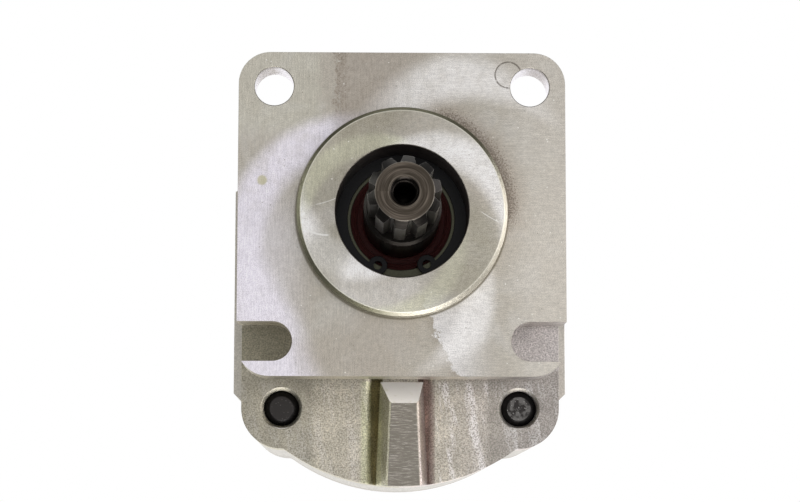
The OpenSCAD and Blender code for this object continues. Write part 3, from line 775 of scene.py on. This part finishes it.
def add_piece(name, corners, faces, finish, body):
    """A smooth mesh from corners in millimetres, riding on a body of the frame."""
    mesh = bpy.data.meshes.new(name)
    mesh.from_pydata([tuple(corner * MM) for corner in corners], [], faces)
    mesh.polygons.foreach_set("use_smooth", [True] * len(mesh.polygons))
    mesh.materials.append(finish)
    piece = bpy.data.objects.new(name, mesh)
    bpy.context.collection.objects.link(piece)
    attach(piece, body)
    return piece


def swept(rings, closed):
    """Faces that join rings of equal length, each to the next, and caps on an open sweep."""
    count, width = len(rings), len(rings[0])
    corners = [corner for ring in rings for corner in ring]
    faces = []
    for i in range(count if closed else count - 1):
        for j in range(width):
            k = (j + 1) % width
            near, far = i * width, (i + 1) % count * width
            faces.append((near + j, near + k, far + k, far + j))
    if not closed:
        faces.append(tuple(reversed(range(width))))
        faces.append(tuple(range((count - 1) * width, count * width)))
    return corners, faces


def internal_thread(place, inward, bore_r, pitch, height, length):
    """A helical ridge on the wall of a hole that starts at place and runs inward.

    The ridge grows to its full height over the first third of a turn, and fades over the last.
    """
    inward = Vector(inward)
    side = Vector((0, 0, 1))
    up = inward.cross(side)
    rings = []
    steps = int(length / pitch * THREAD_STEPS)
    for i in range(steps + 1):
        turn = math.tau * i / THREAD_STEPS
        out = math.cos(turn) * side + math.sin(turn) * up
        middle = Vector(place) + inward * (pitch * i / THREAD_STEPS)
        grown = height * min(1.0, 3 * i / THREAD_STEPS, 3 * (steps - i) / THREAD_STEPS)
        wall, crest = out * (bore_r + THREAD_BITE), out * (bore_r - grown)
        rings.append([
            middle + wall - inward * THREAD_FOOT * pitch,
            middle + crest - inward * THREAD_CREST * pitch,
            middle + crest + inward * THREAD_CREST * pitch,
            middle + wall + inward * THREAD_FOOT * pitch,
        ])
    return swept(rings, closed=False)


def add_threads(port_finish, shaft_steel):
    """Helical ridges in both ports and in the centre hole of the shaft."""
    low, high = box_mm("pump_body")
    middle = (low + high) / 2
    threads = [
        # name, start, direction, hole radius, pitch, ridge height, length, finish, body, slot
        ("inlet_thread", (high.x - 3.2, middle.y, middle.z), (-1, 0, 0), 12.05, 1.81, 0.9, 13.0,
         port_finish, "casing", "body_aluminium"),
        ("outlet_thread", (low.x + 3.2, middle.y, middle.z), (1, 0, 0), 9.3, 1.81, 0.9, 13.0,
         port_finish, "casing", "body_aluminium"),
        ("centre_hole_thread", (0, TIP_Y + 1.6, 0), (0, 1, 0), 3.4, 1.25, 0.5, 15.0,
         shaft_steel, "drive_gear", "gear_steel"),
    ]
    for name, start, inward, bore_r, pitch, height, length, finish, body, slot in threads:
        corners, faces = internal_thread(start, inward, bore_r, pitch, height, length)
        add_piece(name, corners, faces, finish, body)


def add_garter_coil(finish):
    """The shaft seal's spring as the closely wound coil that it is, in place of the plain ring."""
    low, high = box_mm("garter_spring")
    centre = (low + high) / 2
    coil_r = (high.y - low.y) / 2
    ring_r = (high.x - low.x) / 2 - coil_r
    rings = []
    for i in range(COIL_TURNS * COIL_STEPS):
        around = math.tau * i / (COIL_TURNS * COIL_STEPS)
        wound = math.tau * i / COIL_STEPS
        out = Vector((math.cos(around), 0, math.sin(around)))
        spoke = math.cos(wound) * out + math.sin(wound) * Vector((0, 1, 0))
        middle = centre + out * ring_r + spoke * (coil_r - COIL_WIRE_R)
        along = Vector((-math.sin(around), 0, math.cos(around)))
        rings.append([
            middle + COIL_WIRE_R * (math.cos(turn) * spoke + math.sin(turn) * along)
            for turn in (math.tau * k / WIRE_SIDES for k in range(WIRE_SIDES))
        ])
    corners, faces = swept(rings, closed=True)
    coil = add_piece("garter_coil", corners, faces, finish, "casing")
    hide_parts("garter_spring")


# ---------------------------------------------------------------- dressing the CAD nodes

WELD_GAP = 0.001 * MM
FLAT_ANGLE = math.radians(0.3)
EDGE_ANGLE = math.radians(32)


def dress(node, finish, edge=0.0):
    """Gives a CAD node its finish, and rounds its sharp edges by edge millimetres."""
    piece = NODES[node]
    for slot in piece.material_slots:
        slot.material = finish
    if edge:
        weld = piece.modifiers.new("weld", "WELD")
        weld.merge_threshold = WELD_GAP
        flatten = piece.modifiers.new("flatten", "DECIMATE")
        flatten.decimate_type = "DISSOLVE"
        flatten.angle_limit = FLAT_ANGLE
        bevel = piece.modifiers.new("edges", "BEVEL")
        bevel.width = edge * MM
        bevel.segments = 2
        bevel.limit_method = "ANGLE"
        bevel.angle_limit = EDGE_ANGLE
        bevel.use_clamp_overlap = True
        normals = piece.modifiers.new("normals", "WEIGHTED_NORMAL")
        normals.keep_sharp = True


# ---------------------------------------------------------------- the scene

add_camera()
add_world()
for softbox in SOFTBOXES:
    add_softbox(*softbox)
add_floor(floor_finish())
bpy.context.scene.view_settings.view_transform = "Standard"

dress("front_cover", front_cover_finish(), 0.25)
dress("pump_body", body_finish(), 0.4)
dress("rear_cover", rear_cover_finish(), 0.6)
drive_finish = shaft_finish("drive_steel", 0.0)
dress("drive_gear_shaft", drive_finish, 0.12)
dress("driven_gear_shaft", shaft_finish("driven_steel", DRIVEN_Z), 0.12)
dress("cover_bolts", bolt_finish(), 0.2)
ring_finish = plain_finish("black_ring", (0.02, 0.02, 0.021), 0.8, 0.38, 0.5, 0.01)
dress("retaining_ring", ring_finish, 0.1)
dress("shaft_seal_case", plain_finish("seal_case", (0.12, 0.12, 0.085), 1.0, 0.42, 0.5, 0.01), 0.15)
dress("shaft_seal_lip", plain_finish("seal_rubber", (0.095, 0.028, 0.026), 0.0, 0.35, 0.4, 0.01))
dress("bolt_washers", plain_finish("zinc_washer", (0.55, 0.55, 0.50), 1.0, 0.35, 0.4, 0.01), 0.2)
block_finish = plain_finish("bearing_alloy_finish", (0.50, 0.49, 0.46), 1.0, 0.42, 0.6, 0.02)
bush_finish = plain_finish("bronze_finish", (0.50, 0.33, 0.15), 1.0, 0.32, 0.4, 0.01)
black_rubber = plain_finish("black_rubber_finish", (0.02, 0.02, 0.021), 0.0, 0.5, 0.4, 0.01)
backup_finish = plain_finish("backup_finish", (0.78, 0.76, 0.68), 0.0, 0.4, 0.5, 0.01)
pin_finish = plain_finish("pin_finish", (0.42, 0.41, 0.40), 1.0, 0.28, 0.4, 0.004)
for end in ("front", "rear"):
    dress(end + "_bearing_block", block_finish, 0.2)
    dress("drive_" + end + "_bush", bush_finish, 0.1)
    dress("driven_" + end + "_bush", bush_finish, 0.1)
    dress(end + "_pressure_seal", black_rubber, 0.15)
    dress(end + "_backup_ring", backup_finish, 0.08)
    dress(end + "_body_seal", black_rubber)
    dress(end + "_dowels", pin_finish, 0.4)

add_threads(plain_finish("cut_thread", (0.52, 0.50, 0.46), 1.0, 0.3, 0.4, 0.005), drive_finish)
add_garter_coil(plain_finish("spring_wire", (0.45, 0.45, 0.44), 1.0, 0.25, 0.2, 0.002))
